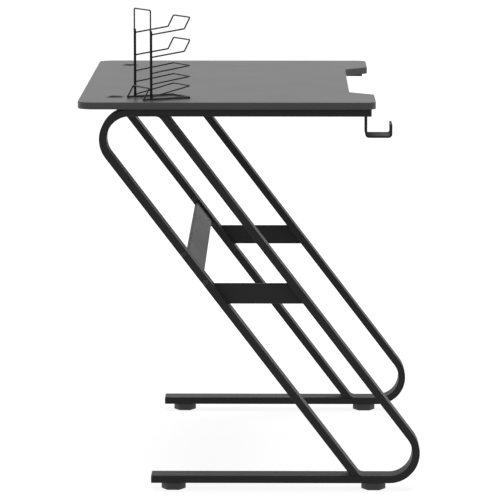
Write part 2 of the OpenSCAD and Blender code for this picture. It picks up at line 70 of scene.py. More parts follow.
def soft_lamp(name, place, size, watts):
    """A square lamp that faces the middle of the desk, and isn't seen itself."""
    lamp = bpy.data.lights.new(name, "AREA")
    lamp.shape = "SQUARE"
    lamp.size = size
    lamp.energy = watts
    stand = bpy.data.objects.new(name, lamp)
    scene.collection.objects.link(stand)
    stand.location = place
    stand.rotation_euler = (desk_middle - Vector(place)).to_track_quat("-Z", "Y").to_euler()
    stand.visible_camera = False
    stand.visible_glossy = False


soft_lamp("overhead_lamp", (0.6, 0.0, 4.4), 3.0, 111.0)
soft_lamp("front_lamp", (1.5, -4.0, 1.6), 2.5, 4.0)
soft_lamp("rear_lamp", (1.5, 4.0, 1.6), 2.5, 6.0)


def seen_directly(tree):
    """1 for rays from the camera, off gloss and through glass, 0 for rays that only bring light."""
    paths = tree.nodes.new("ShaderNodeLightPath")
    seen = paths.outputs["Is Camera Ray"]
    for kind in ("Is Glossy Ray", "Is Transmission Ray"):
        either = tree.nodes.new("ShaderNodeMath")
        either.operation = "MAXIMUM"
        tree.links.new(seen, either.inputs[0])
        tree.links.new(paths.outputs[kind], either.inputs[1])
        seen = either.outputs[0]
    return seen


sky = bpy.data.worlds.new("studio_sky")
sky.use_nodes = True
sky_tree = sky.node_tree
sky_light, sky_white = 0.18, 1.0
sky_level = sky_tree.nodes.new("ShaderNodeMapRange")
sky_level.inputs["To Min"].default_value = sky_light
sky_level.inputs["To Max"].default_value = sky_white
sky_tree.links.new(seen_directly(sky_tree), sky_level.inputs["Value"])
sky_tree.links.new(sky_level.outputs["Result"], sky_tree.nodes["Background"].inputs["Strength"])
sky_tree.nodes["Background"].inputs["Color"].default_value = (1, 1, 1, 1)
scene.world = sky

# Floor. A level sheet of paper, white to the camera, that keeps the desk's soft shadow and throws
# little light back up.
bounce_tone, shaded_tone = 0.3, 0.38
near_glow, far_glow, fade_start, fade_end = 0.9, 1.0, 0.9, 2.2
floor_mesh = bpy.data.meshes.new("studio_floor")
floor_mesh.from_pydata([(-floor_half, -floor_half, 0), (floor_half, -floor_half, 0),
                        (floor_half, floor_half, 0), (-floor_half, floor_half, 0)],
                       [], [(0, 1, 2, 3)])
floor_paper = bpy.data.materials.new("floor_paper")
floor_paper.use_nodes = True
paper_tree = floor_paper.node_tree
paper_tree.nodes.remove(paper_tree.nodes["Principled BSDF"])
paper_bounce = paper_tree.nodes.new("ShaderNodeBsdfDiffuse")
paper_bounce.inputs["Color"].default_value = (bounce_tone, bounce_tone, bounce_tone, 1)
paper_shaded = paper_tree.nodes.new("ShaderNodeBsdfDiffuse")
paper_shaded.inputs["Color"].default_value = (shaded_tone, shaded_tone, shaded_tone, 1)
paper_white = paper_tree.nodes.new("ShaderNodeEmission")
paper_place = paper_tree.nodes.new("ShaderNodeTexCoord")
paper_distance = paper_tree.nodes.new("ShaderNodeVectorMath")
paper_distance.operation = "LENGTH"
paper_tree.links.new(paper_place.outputs["Object"], paper_distance.inputs[0])
paper_fade = paper_tree.nodes.new("ShaderNodeMapRange")
paper_fade.interpolation_type = "SMOOTHSTEP"
paper_fade.inputs["From Min"].default_value = fade_start
paper_fade.inputs["From Max"].default_value = fade_end
paper_fade.inputs["To Min"].default_value = near_glow
paper_fade.inputs["To Max"].default_value = far_glow
paper_tree.links.new(paper_distance.outputs["Value"], paper_fade.inputs["Value"])
paper_tree.links.new(paper_fade.outputs["Result"], paper_white.inputs["Strength"])
paper_seen = paper_tree.nodes.new("ShaderNodeAddShader")
paper_tree.links.new(paper_shaded.outputs[0], paper_seen.inputs[0])
paper_tree.links.new(paper_white.outputs[0], paper_seen.inputs[1])
paper_mix = paper_tree.nodes.new("ShaderNodeMixShader")
paper_tree.links.new(seen_directly(paper_tree), paper_mix.inputs["Fac"])
paper_tree.links.new(paper_bounce.outputs[0], paper_mix.inputs[1])
paper_tree.links.new(paper_seen.outputs[0], paper_mix.inputs[2])
paper_tree.links.new(paper_mix.outputs[0], paper_tree.nodes["Material Output"].inputs["Surface"])
floor_mesh.materials.append(floor_paper)
studio_floor = bpy.data.objects.new("studio_floor", floor_mesh)
scene.collection.objects.link(studio_floor)


# Table top. A particle board with a dark grey laminate pressed on both faces, which has a fine
# stipple and a slight satin gloss.
def finish(name, tones, roughness, grain, relief, specular=0.5, metallic=0.0, cloud=0.08):
    """A procedural finish: two tones mixed by fine grain and soft clouds, roughness that varies
    with the clouds, and a relief of the given height. Grain, cloud and relief are in metres."""
    grain_share, noise_low, noise_high = 0.6, 0.3, 0.7
    material = bpy.data.materials.new(name)
    material.use_nodes = True
    tree = material.node_tree
    shader = tree.nodes["Principled BSDF"]
    shader.inputs["Metallic"].default_value = metallic
    shader.inputs["Specular IOR Level"].default_value = specular
    place = tree.nodes.new("ShaderNodeTexCoord")
    speckle = tree.nodes.new("ShaderNodeTexNoise")
    speckle.inputs["Scale"].default_value = 1.0 / grain
    speckle.inputs["Detail"].default_value = 3.0
    clouds = tree.nodes.new("ShaderNodeTexNoise")
    clouds.inputs["Scale"].default_value = 1.0 / cloud
    clouds.inputs["Detail"].default_value = 2.0
    for noise in (speckle, clouds):
        tree.links.new(place.outputs["Object"], noise.inputs["Vector"])
    blend = tree.nodes.new("ShaderNodeMath")
    blend.operation = "MULTIPLY_ADD"
    blend.inputs[1].default_value = grain_share
    weighted = tree.nodes.new("ShaderNodeMath")
    weighted.operation = "MULTIPLY"
    weighted.inputs[1].default_value = 1 - grain_share
    tree.links.new(clouds.outputs["Fac"], weighted.inputs[0])
    tree.links.new(speckle.outputs["Fac"], blend.inputs[0])
    tree.links.new(weighted.outputs[0], blend.inputs[2])
    colour = tree.nodes.new("ShaderNodeValToRGB")
    colour.color_ramp.elements[0].position = noise_low
    colour.color_ramp.elements[0].color = (*tones[0], 1)
    colour.color_ramp.elements[1].position = noise_high
    colour.color_ramp.elements[1].color = (*tones[1], 1)
    tree.links.new(blend.outputs[0], colour.inputs["Fac"])
    tree.links.new(colour.outputs["Color"], shader.inputs["Base Color"])
    sheen = tree.nodes.new("ShaderNodeMapRange")
    sheen.inputs["From Min"].default_value = noise_low
    sheen.inputs["From Max"].default_value = noise_high
    sheen.inputs["To Min"].default_value = roughness[0]
    sheen.inputs["To Max"].default_value = roughness[1]
    tree.links.new(clouds.outputs["Fac"], sheen.inputs["Value"])
    tree.links.new(sheen.outputs["Result"], shader.inputs["Roughness"])
    bump = tree.nodes.new("ShaderNodeBump")
    bump.inputs["Distance"].default_value = relief
    bump.inputs["Strength"].default_value = 0.5
    tree.links.new(speckle.outputs["Fac"], bump.inputs["Height"])
    tree.links.new(bump.outputs["Normal"], shader.inputs["Normal"])
    return material


def coat(piece, *materials):
    """Gives a piece these materials in place of what it has."""
    piece.data.materials.clear()
    for material in materials:
        piece.data.materials.append(material)


desk_laminate = finish("desk_laminate", ((0.034, 0.034, 0.034), (0.042, 0.042, 0.042)),
                       (0.40, 0.42), 0.0009, 0.00005, specular=0.35)
coat(cad["table_top"], desk_laminate)


# Edge band. A strip of the same grey in ABS, one millimetre thick, glued round the whole outline
# of the board, with its two long edges trimmed to a small radius.
def shown(name, mesh, body, node):
    """Puts a finished mesh in the scene on its body, in a CAD node's place where it has one."""
    piece = bpy.data.objects.new(name, mesh)
    scene.collection.objects.link(piece)
    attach(piece, body)
    if node:
        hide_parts(node)
    return piece


def smooth(mesh, degrees):
    """Smooth shading, with creases where faces meet at more than the given angle."""
    mesh.polygons.foreach_set("use_smooth", [True] * len(mesh.polygons))
    mesh.set_sharp_from_angle(angle=math.radians(degrees))


def outline_with_radii(corners, radii, steps):
    """Points round an anticlockwise outline with rounded corners, each with its outward normal."""
    points = []
    count = len(corners)
    for i, corner in enumerate(corners):
        into = (corner - corners[i - 1]).normalized()
        out = (corners[(i + 1) % count] - corner).normalized()
        bulge = 1 if into.x * out.y - into.y * out.x > 0 else -1
        half = math.acos(-into.dot(out)) / 2
        centre = corner + (out - into).normalized() * radii[i] / math.sin(half)
        first = Vector((into.y, -into.x)) * bulge
        last = Vector((out.y, -out.x)) * bulge
        turn = math.atan2(first.x * last.y - first.y * last.x, first.dot(last))
        for j in range(steps + 1):
            spoke = Matrix.Rotation(turn * j / steps, 2) @ first
            points.append((centre + spoke * radii[i], spoke * bulge))
    return points


band_low, band_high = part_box("edge_band")
band_t, band_ease = 0.001, 0.0007
bay_half, bay_floor_half, bay_d = 0.293, 0.245, 0.047
rear_corner, front_corner, bay_lip_r, bay_floor_r = 0.030, 0.020, 0.015, 0.020
corner_steps = 16
desk_half, desk_front, desk_rear = band_high.x, band_low.y, band_high.y
bay_floor_y = desk_front + bay_d
left_half_outline = [(-desk_half, desk_rear, rear_corner), (-desk_half, desk_front, front_corner),
                     (-bay_half, desk_front, bay_lip_r),
                     (-bay_floor_half, bay_floor_y, bay_floor_r)]
board_outline = left_half_outline + [(-x, y, r) for x, y, r in reversed(left_half_outline)]
band_outline = outline_with_radii([Vector((x, y)) for x, y, r in board_outline],
                                  [r for x, y, r in board_outline], corner_steps)
band_section = [(band_t, band_low.z), (band_ease, band_low.z)]
for degrees in (30, 60, 90):
    a = math.radians(degrees)
    band_section.append((band_ease * (1 - math.sin(a)),
                         band_low.z + band_ease * (1 - math.cos(a))))
band_section += [(inset, band_low.z + band_high.z - z) for inset, z in reversed(band_section)]
band_mesh = bpy.data.meshes.new("edge_band_eased")
sides, rows = len(band_section), len(band_outline)
band_mesh.from_pydata(
    [(*(point - normal * inset), z) for point, normal in band_outline for inset, z in band_section],
    [],
    [(i * sides + j, (i + 1) % rows * sides + j, (i + 1) % rows * sides + (j + 1) % sides,
      i * sides + (j + 1) % sides) for i in range(rows) for j in range(sides)])
smooth(band_mesh, 50)
band_abs = finish("edge_band_abs", ((0.158, 0.158, 0.158), (0.172, 0.172, 0.172)),
                  (0.42, 0.46), 0.0014, 0.00004, specular=0.35)
coat(shown("edge_band_eased", band_mesh, "desk", "edge_band"), band_abs)


# Cable grommets. Moulded dark grey rings in the two rear holes, with a rounded flange that lies on
# the board, a plain barrel, and a small snap bead near the barrel's lower end.
def turned(name, rings, sides, pitch=0.001, closed=False):
    """A mesh of rings about Z, each (radius, height, thread depth, hexagonal). An open shape ends
    in a point on the axis at both ends, and a closed one joins its last ring to its first."""
    form = bmesh.new()
    loops = []
    for radius, height, thread, hexagonal in rings:
        loop = []
        for i in range(sides):
            angle = 2 * math.pi * i / sides
            reach = radius
            if hexagonal:
                reach = radius / math.cos((angle + math.pi / 6) % (math.pi / 3) - math.pi / 6)
            if thread:
                reach -= thread * abs(2 * ((height / pitch - i / sides) % 1.0) - 1)
            loop.append(form.verts.new((reach * math.cos(angle), reach * math.sin(angle), height)))
        loops.append(loop)
    pairs = list(zip(loops, loops[1:] + loops[:1] if closed else loops[1:]))
    for lower, upper in pairs:
        for i in range(sides):
            form.faces.new((lower[i], lower[(i + 1) % sides], upper[(i + 1) % sides], upper[i]))
    if not closed:
        for loop, height in ((loops[0], rings[0][1]), (loops[-1], rings[-1][1])):
            tip = form.verts.new((0, 0, height))
            for i in range(sides):
                form.faces.new((loop[i], loop[(i + 1) % sides], tip))
    bmesh.ops.recalc_face_normals(form, faces=form.faces)
    mesh = bpy.data.meshes.new(name)
    form.to_mesh(mesh)
    form.free()
    smooth(mesh, 35)
    return mesh


grommet_moulding = finish("grommet_moulding", ((0.085, 0.085, 0.086), (0.100, 0.100, 0.101)),
                          (0.42, 0.50), 0.0007, 0.00003, specular=0.35)
bore_r, barrel_r, flange_t = 0.014, 0.0155, 0.001
bead_rise, bead_half, bead_proud = 0.0020, 0.0008, 0.00015
barrel_lead, ring_ease, ring_sides = 0.0006, 0.0002, 96
for side in ("left", "right"):
    low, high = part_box(side + "_grommet")
    middle = (low + high) / 2
    rim_r, top, seat = (high.x - low.x) / 2, high.z, high.z - flange_t
    bead_z = low.z + bead_rise
    ring = [(bore_r, low.z + barrel_lead), (bore_r + barrel_lead, low.z),
            (barrel_r - 2 * ring_ease, low.z), (barrel_r, bead_z - bead_half),
            (barrel_r + bead_proud, bead_z), (barrel_r, bead_z + bead_half), (barrel_r, seat),
            (rim_r - ring_ease, seat), (rim_r, seat + ring_ease),
            (rim_r - ring_ease, seat + 0.5 * flange_t),
            (rim_r - 4 * ring_ease, top - 0.1 * flange_t), (rim_r - 8 * ring_ease, top),
            (bore_r + 6 * ring_ease, top),
            (bore_r + 1.5 * ring_ease, top - 0.3 * flange_t), (bore_r, top - flange_t)]
    mesh = turned(side + "_grommet_ring", [(r, z, 0, False) for r, z in ring], ring_sides,
                  closed=True)
    mesh.transform(Matrix.Translation((middle.x, middle.y, 0)))
    coat(shown(side + "_grommet_ring", mesh, "desk", side + "_grommet"),
         grommet_moulding)

# Legs. Each is two bent rectangular steel tubes and a short brace, welded, ground flush at the
# sides, and powder coated black in one go, with the faint orange peel of the powder.
powder_coat = finish("powder_coat", ((0.036, 0.036, 0.036), (0.044, 0.044, 0.044)),
                     (0.52, 0.56), 0.0016, 0.00003, specular=0.22)
for side in ("left", "right"):
    for tube in ("_upper_tube", "_lower_tube", "_brace"):
        coat(cad[side + tube], powder_coat)


# Welds of the legs. A bead of overlapping ripples round each end of a diagonal and of a brace, and
# a smooth fillet of weld in the wide corner where a diagonal meets its bar, under the same powder.
def geometry_tree(name, inputs):
    """A node tree with a geometry in and out and the named inputs."""
    tree = bpy.data.node_groups.new(name, "GeometryNodeTree")
    tree.interface.new_socket("Geometry", in_out="INPUT", socket_type="NodeSocketGeometry")
    for label, kind in inputs:
        tree.interface.new_socket(label, in_out="INPUT", socket_type="NodeSocket" + kind)
    tree.interface.new_socket("Geometry", in_out="OUTPUT", socket_type="NodeSocketGeometry")
    return tree, tree.nodes.new("NodeGroupInput").outputs


def step(tree, kind, sockets, **settings):
    """One node, with its inputs linked or set, and its first output."""
    node = tree.nodes.new(kind)
    for name, value in settings.items():
        setattr(node, name, value)
    for name, value in sockets.items():
        if isinstance(value, bpy.types.NodeSocket):
            tree.links.new(value, node.inputs[name])
        else:
            node.inputs[name].default_value = value
    return node.outputs[0]


def finished(tree, geometry, material):
    """Ends a tree: real meshes in place of instances, one material, and the output."""
    real = step(tree, "GeometryNodeRealizeInstances", {"Geometry": geometry})
    painted = step(tree, "GeometryNodeSetMaterial", {"Geometry": real, "Material": material})
    tree.links.new(painted, tree.nodes.new("NodeGroupOutput").inputs[0])


def made_by(tree, guide, inputs, name):
    """Runs a tree over a guide mesh, and keeps the result as a plain mesh."""
    holder = bpy.data.objects.new(name + "_guide", guide)
    scene.collection.objects.link(holder)
    modifier = holder.modifiers.new(name, "NODES")
    modifier.node_group = tree
    for item in tree.interface.items_tree:
        if item.in_out == "INPUT" and item.name in inputs:
            modifier[item.identifier] = inputs[item.name]
    graph = bpy.context.evaluated_depsgraph_get()
    mesh = bpy.data.meshes.new_from_object(holder.evaluated_get(graph))
    mesh.name = name
    holder.modifiers.remove(modifier)
    bpy.data.objects.remove(holder)
    return mesh


bead_tree, bead_in = geometry_tree("weld_bead", (("Ripple Spacing", "Float"),
                                                 ("Bead Radius", "Float"), ("Powder", "Material")))
bead_line = step(bead_tree, "GeometryNodeMeshToCurve", {"Mesh": bead_in["Geometry"]})
bead_points = step(bead_tree, "GeometryNodeResampleCurve",
                   {"Curve": bead_line, "Length": bead_in["Ripple Spacing"]}, mode="LENGTH")
bead_heading = step(bead_tree, "FunctionNodeAlignRotationToVector",
                    {"Vector": step(bead_tree, "GeometryNodeInputTangent", {})}, axis="Z")
ripple = step(bead_tree, "GeometryNodeMeshUVSphere",
              {"Segments": 10, "Rings": 6, "Radius": bead_in["Bead Radius"]})
bead_ripples = step(bead_tree, "GeometryNodeInstanceOnPoints",
                    {"Points": bead_points, "Instance": ripple, "Rotation": bead_heading})
bead_smooth = step(bead_tree, "GeometryNodeSetShadeSmooth",
                   {"Geometry": step(bead_tree, "GeometryNodeRealizeInstances",
                                     {"Geometry": bead_ripples})})
finished(bead_tree, bead_smooth, bead_in["Powder"])

tube_t, bead_r, bead_pitch = 0.0145, 0.0012, 0.0016
fillet_leg, fillet_steps, fillet_sunk, fillet_short = 0.006, 8, 0.0004, 0.0006
nearly = 0.0001
for side in ("left", "right"):
    upper_low, upper_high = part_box(side + "_upper_tube")
    brace_low, brace_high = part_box(side + "_brace")
    foot_top, bar_under = upper_low.z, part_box(side + "_lower_tube")[1].z
    rear_foot = Vector((0, min(v.co.y for v in cad[side + "_upper_tube"].data.vertices
                               if v.co.z < foot_top + nearly), foot_top))
    front_top = Vector((0, max(v.co.y for v in cad[side + "_lower_tube"].data.vertices
                               if v.co.z > bar_under - nearly), bar_under))
    rise = (Vector((0, brace_high.y, brace_high.z)) - rear_foot).normalized()
    slant = tube_t / rise.z
    loops = []
    for corner, toward in ((rear_foot, 1), (front_top, -1)):
        loops.append([Vector((x, corner.y + toward * y, corner.z))
                      for x, y in ((upper_low.x, 0), (upper_high.x, 0), (upper_high.x, slant),
                                   (upper_low.x, slant))])
    brace_run = rise * (brace_high.z - brace_low.z) / rise.z
    for start in (Vector((0, brace_low.y, brace_low.z)),
                  Vector((0, brace_high.y, brace_high.z)) - brace_run):
        loops.append([start + Vector((brace_low.x, 0, 0)), start + Vector((brace_high.x, 0, 0)),
                      start + brace_run + Vector((brace_high.x, 0, 0)),
                      start + brace_run + Vector((brace_low.x, 0, 0))])
    guide = bpy.data.meshes.new(side + "_weld_lines")
    guide.from_pydata([p for loop in loops for p in loop],
                      [(4 * i + j, 4 * i + (j + 1) % 4)
                       for i in range(len(loops)) for j in range(4)], [])
    beads = made_by(bead_tree, guide, {"Ripple Spacing": bead_pitch, "Bead Radius": bead_r,
                                       "Powder": powder_coat}, side + "_weld_beads")
    shown(side + "_weld_beads", beads, "desk", None)

    form = bmesh.new()
    ends = (upper_low.x + fillet_short, upper_high.x - fillet_short)
    for corner, along, up in ((rear_foot, Vector((0, -1, 0)), rise),
                              (front_top, Vector((0, 1, 0)), -rise)):
        bisector = (along + up).normalized()
        half = math.acos(along.dot(up)) / 2
        radius = fillet_leg * math.tan(half)
        centre = corner + bisector * radius / math.sin(half)
        section = [corner - bisector * fillet_sunk]
        first = corner + along * fillet_leg - centre
        last = corner + up * fillet_leg - centre
        for i in range(fillet_steps + 1):
            section.append(centre + first.slerp(last, i / fillet_steps).normalized() * radius)
        rows = [[form.verts.new((x, p.y, p.z)) for p in section] for x in ends]
        count = len(section)
        for i in range(count):
            j = (i + 1) % count
            form.faces.new((rows[0][i], rows[0][j], rows[1][j], rows[1][i]))
        for row in rows:
            form.faces.new(row)
    bmesh.ops.recalc_face_normals(form, faces=form.faces)
    fillets = bpy.data.meshes.new(side + "_weld_fillets")
    form.to_mesh(fillets)
    form.free()
    smooth(fillets, 40)
    coat(shown(side + "_weld_fillets", fillets, "desk", None), powder_coat)


# End caps. Black moulded plugs in the open ends of the tubes: a flange as big as the tube with a
# rounded rim and a slightly crowned face, and an open plug behind it.
def rounded_loop(width, height, radius):
    """Points round a rounded rectangle about the origin."""
    steps = 6
    points = []
    for i, (x, y) in enumerate(((1, 1), (-1, 1), (-1, -1), (1, -1))):
        for j in range(steps + 1):
            a = math.pi / 2 * (i + j / steps)
            points.append((x * (width / 2 - radius) + radius * math.cos(a),
                           y * (height / 2 - radius) + radius * math.sin(a)))
    return points


def lofted(name, loops, place):
    """A closed solid through loops of (points, depth), its depth along the place's Z."""
    form = bmesh.new()
    rows = [[form.verts.new(place @ Vector((x, y, depth))) for x, y in points]
            for points, depth in loops]
    count = len(rows[0])
    for lower, upper in zip(rows, rows[1:]):
        for i in range(count):
            form.faces.new((lower[i], lower[(i + 1) % count], upper[(i + 1) % count], upper[i]))
    form.faces.new(rows[0])
    form.faces.new(rows[-1])
    bmesh.ops.recalc_face_normals(form, faces=form.faces)
    mesh = bpy.data.meshes.new(name)
    form.to_mesh(mesh)
    form.free()
    smooth(mesh, 40)
    return mesh


black_moulding = finish("black_moulding", ((0.022, 0.022, 0.023), (0.030, 0.030, 0.031)),
                        (0.46, 0.56), 0.0007, 0.00004, specular=0.35)
cap_width, cap_height, cap_corner, cap_flange = 0.050, 0.0145, 0.002, 0.003
plug_gap, plug_wall, plug_corner, plug_lead, plug_chamfer = 0.0013, 0.002, 0.001, 0.002, 0.0004
plug_floor = -0.0002
crown = [(0.0, 0.0), (0.0, 0.0018), (0.0003, 0.0024), (0.0009, 0.0028), (0.0022, cap_flange)]


def cap_loop(inset, corner):
    """The tube's outline drawn in by an inset."""
    return rounded_loop(cap_width - 2 * inset, cap_height - 2 * inset, corner)


for side in ("left", "right"):
    for end, outward in (("bar", -1), ("foot", 1)):
        low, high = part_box(f"{side}_{end}_cap")
        face_y = low.y if outward < 0 else high.y
        place = Matrix(((1, 0, 0, (low.x + high.x) / 2),
                        (0, 0, outward, face_y - outward * cap_flange),
                        (0, -outward, 0, (low.z + high.z) / 2),
                        (0, 0, 0, 1)))
        plug_depth = (high.y - low.y) - cap_flange
        loops = [(cap_loop(inset, plug_corner), depth)
                 for inset, depth in ((plug_gap + plug_wall, plug_floor),
                                      (plug_gap + plug_wall, -plug_depth),
                                      (plug_gap + plug_chamfer, -plug_depth),
                                      (plug_gap, -plug_depth + plug_lead), (plug_gap, 0.0))]
        loops += [(cap_loop(inset, cap_corner - inset * 0.5), depth) for inset, depth in crown]
        mesh = lofted(f"{side}_{end}_end_cap", loops, place)
        coat(shown(f"{side}_{end}_end_cap", mesh, "desk", f"{side}_{end}_cap"),
             black_moulding)

# Cross panel. A shallow channel of sheet steel with its edges folded back, welded to an end plate
# at each leg, under a powder coat a little finer than the tubes'.
panel_coat = finish("panel_coat", ((0.034, 0.034, 0.034), (0.040, 0.040, 0.040)),
                    (0.46, 0.50), 0.0013, 0.00002, specular=0.2)
coat(cad["cross_panel"], panel_coat)


# Bolts, nuts and inserts. Black button-head socket bolts hold the cross panel and the board, with
# cut threads, and hexagon nuts and turned brass inserts to match.
def solids_of(node):
    """The box of each separate solid in a CAD node."""
    form = bmesh.new()
    form.from_mesh(cad[node].data)
    bmesh.ops.remove_doubles(form, verts=form.verts, dist=1e-6)
    left = set(form.verts)
    boxes = []
    while left:
        waiting = [left.pop()]
        corners = []
        while waiting:
            vert = waiting.pop()
            corners.append(vert.co.copy())
            for edge in vert.link_edges:
                other = edge.other_vert(vert)
                if other in left:
                    left.discard(other)
                    waiting.append(other)
        boxes.append((Vector(map(min, zip(*corners))), Vector(map(max, zip(*corners)))))
    form.free()
    return sorted(boxes, key=lambda box: tuple(box[0]))


fastener_tree, fastener_in = geometry_tree("fastener_set", (("Fastener", "Object"),
                                                            ("Finish", "Material")))
fastener = step(fastener_tree, "GeometryNodeObjectInfo", {"Object": fastener_in["Fastener"]})
fastener_shape = fastener.node.outputs["Geometry"]
fastener_axis = step(fastener_tree, "GeometryNodeInputNamedAttribute", {"Name": "axis"},
                     data_type="FLOAT_VECTOR")
fastener_turn = step(fastener_tree, "FunctionNodeAlignRotationToVector", {"Vector": fastener_axis},
                     axis="Z")
fasteners_placed = step(fastener_tree, "GeometryNodeInstanceOnPoints",
                        {"Points": fastener_in["Geometry"], "Instance": fastener_shape,
                         "Rotation": fastener_turn})
finished(fastener_tree, fasteners_placed, fastener_in["Finish"])


def upright_seats(boxes, height=0.0):
    """A place on each solid's own upright axis, this far above its lower end, and the way up."""
    return [(((low.x + high.x) / 2, (low.y + high.y) / 2, low.z + height), (0, 0, 1))
            for low, high in boxes]


def sideways_seats(boxes, inset=0.0):
    """A place on each solid's own level axis, this far from its outer end, and the way inward."""
    return [((low.x + inset if low.x < 0 else high.x - inset,
              (low.y + high.y) / 2, (low.z + high.z) / 2), (1 if low.x < 0 else -1, 0, 0))
            for low, high in boxes]


def fastener_set(name, node, shape, seats, material):
    """Puts one fastener's mesh at each seat, its Z along the seat's direction."""
    guide = bpy.data.meshes.new(name + "_places")
    guide.from_pydata([place for place, direction in seats], [], [])
    axis = guide.attributes.new("axis", "FLOAT_VECTOR", "POINT")
    for i, (place, direction) in enumerate(seats):
        axis.data[i].vector = direction
    pattern = bpy.data.objects.new(name + "_pattern", shape)
    scene.collection.objects.link(pattern)
    mesh = made_by(fastener_tree, guide, {"Fastener": pattern, "Finish": material}, name)
    bpy.data.objects.remove(pattern)
    smooth(mesh, 35)
    return shown(name, mesh, "desk", node)


def thread(radius, start, end, pitch, depth):
    """Rings of a thread from one height to another, six to each turn."""
    rings_per_turn = 6
    count = max(2, round((end - start) / pitch * rings_per_turn))
    return [(radius, start + (end - start) * i / count, depth, False) for i in range(count + 1)]


fastener_sides = 24
bolt_pitch, bolt_shank_r, bolt_head_r, bolt_head_h = 0.001, 0.003, 0.00525, 0.003
shank_plain, shank_lead = 0.001, 0.0006
socket_r, socket_depth, socket_lead = 0.002, 0.0018, 0.0002
button = ((0.62, 1.0), (0.80, 0.86), (0.92, 0.62), (0.985, 0.32), (1.0, 0.10))


def socket_bolt(name, length):
    """A button-head bolt with its seat at zero, its head below and its thread above."""
    head = [(socket_r * 0.6, -bolt_head_h + socket_depth, 0, True),
            (socket_r, -bolt_head_h + socket_depth, 0, True),
            (socket_r, -bolt_head_h + socket_lead, 0, True),
            (socket_r + 1.5 * socket_lead, -bolt_head_h, 0, False)]
    head += [(bolt_head_r * out, -bolt_head_h * down, 0, False) for out, down in button]
    head += [(bolt_head_r - socket_lead, 0, 0, False), (bolt_shank_r, 0, 0, False)]
    shank = thread(bolt_shank_r, shank_plain, length - shank_lead, bolt_pitch, bolt_pitch * 0.45)
    return turned(name, head + shank + [(bolt_shank_r - bolt_pitch * 0.5, length, 0, False)],
                  fastener_sides, bolt_pitch)


black_steel = finish("black_steel", ((0.042, 0.042, 0.043), (0.054, 0.054, 0.055)),
                     (0.36, 0.46), 0.0008, 0.00003, specular=0.4, cloud=0.004)
zinc_plate = finish("zinc_plate", ((0.46, 0.46, 0.47), (0.60, 0.60, 0.62)),
                    (0.28, 0.42), 0.0009, 0.00003, metallic=1.0, cloud=0.006)
turned_brass = finish("turned_brass", ((0.55, 0.42, 0.20), (0.66, 0.52, 0.27)),
                      (0.25, 0.38), 0.0007, 0.00003, metallic=1.0, cloud=0.005)

panel_boxes = solids_of("panel_bolts")
panel_bolt = socket_bolt("panel_bolt", panel_boxes[0][1].x - panel_boxes[0][0].x - bolt_head_h)
fastener_set("panel_socket_bolts", "panel_bolts", panel_bolt,
             sideways_seats(panel_boxes, bolt_head_h), black_steel)

board_boxes = solids_of("board_bolts")
board_bolt = socket_bolt("board_bolt", board_boxes[0][1].z - board_boxes[0][0].z - bolt_head_h)
fastener_set("board_socket_bolts", "board_bolts", board_bolt,
             upright_seats(board_boxes, bolt_head_h), black_steel)


def hexagon_nut(name, across, bore_r, height, pitch):
    """A nut from its base at zero, chamfered at both ends, with a thread in its bore."""
    bore_lead, chamfer = 0.0006, 0.0007
    flat = across / 2
    face_r = flat * 1.02 - 0.0004
    outside = [(bore_r + bore_lead, 0, 0, False), (face_r, 0, 0, False),
               (flat, chamfer, 0, True), (flat, height - chamfer, 0, True),
               (face_r, height, 0, False), (bore_r + bore_lead, height, 0, False)]
    cut = thread(bore_r + pitch * 0.4, bore_lead, height - bore_lead, pitch, pitch * 0.4)
    return turned(name, outside + cut[::-1], fastener_sides, pitch, closed=True)


nut_boxes = solids_of("panel_nuts")
tapped_r, panel_nut_across = 0.0031, 0.010
panel_nut = hexagon_nut("panel_nut", panel_nut_across, tapped_r,
                        nut_boxes[0][1].x - nut_boxes[0][0].x, bolt_pitch)
fastener_set("panel_hexagon_nuts", "panel_nuts", panel_nut, sideways_seats(nut_boxes), black_steel)

foot_boxes = solids_of("foot_nuts")
foot_nut_across, foot_tapped_r, stud_pitch = 0.013, 0.0041, 0.00125
foot_nut = hexagon_nut("foot_nut", foot_nut_across, foot_tapped_r,
                       foot_boxes[0][1].z - foot_boxes[0][0].z, stud_pitch)
fastener_set("foot_hexagon_nuts", "foot_nuts", foot_nut, upright_seats(foot_boxes), zinc_plate)

insert_boxes = solids_of("board_inserts")
insert_pitch, insert_cut, insert_chamfer, insert_lead = 0.002, 0.0008, 0.0003, 0.0005
insert_r = (insert_boxes[0][1].x - insert_boxes[0][0].x) / 2
insert_h = insert_boxes[0][1].z - insert_boxes[0][0].z
insert_rings = [(tapped_r, 0, 0, False), (insert_r - insert_chamfer, 0, 0, False)]
insert_rings += thread(insert_r, insert_lead, insert_h - insert_lead, insert_pitch, insert_cut)
insert_rings += [(insert_r - insert_chamfer, insert_h, 0, False), (tapped_r, insert_h, 0, False)]
brass_insert = turned("brass_insert", insert_rings, fastener_sides, insert_pitch, closed=True)
fastener_set("board_brass_inserts", "board_inserts", brass_insert, upright_seats(insert_boxes),
             turned_brass)


# Levelling glides. Hexagonal pads moulded in dark grey plastic with eased edges, on zinc plated
# studs that screw up into the nuts welded inside the foot bars.
def eased_copy(node, name, width):
    """A CAD node's shape with its hard edges eased to a small radius."""
    flat_angle, hard_angle = math.radians(0.5), math.radians(30)
    form = bmesh.new()
    form.from_mesh(cad[node].data)
    bmesh.ops.remove_doubles(form, verts=form.verts, dist=1e-6)
    bmesh.ops.dissolve_limit(form, angle_limit=flat_angle, verts=form.verts, edges=form.edges)
    hard = [edge for edge in form.edges
            if len(edge.link_faces) == 2 and edge.calc_face_angle() > hard_angle]
    bmesh.ops.bevel(form, geom=hard, offset=width, offset_type="OFFSET", segments=2, profile=0.5,
                    affect="EDGES", clamp_overlap=True)
    bmesh.ops.recalc_face_normals(form, faces=form.faces)
    mesh = bpy.data.meshes.new(name)
    form.to_mesh(mesh)
    form.free()
    smooth(mesh, 35)
    return mesh


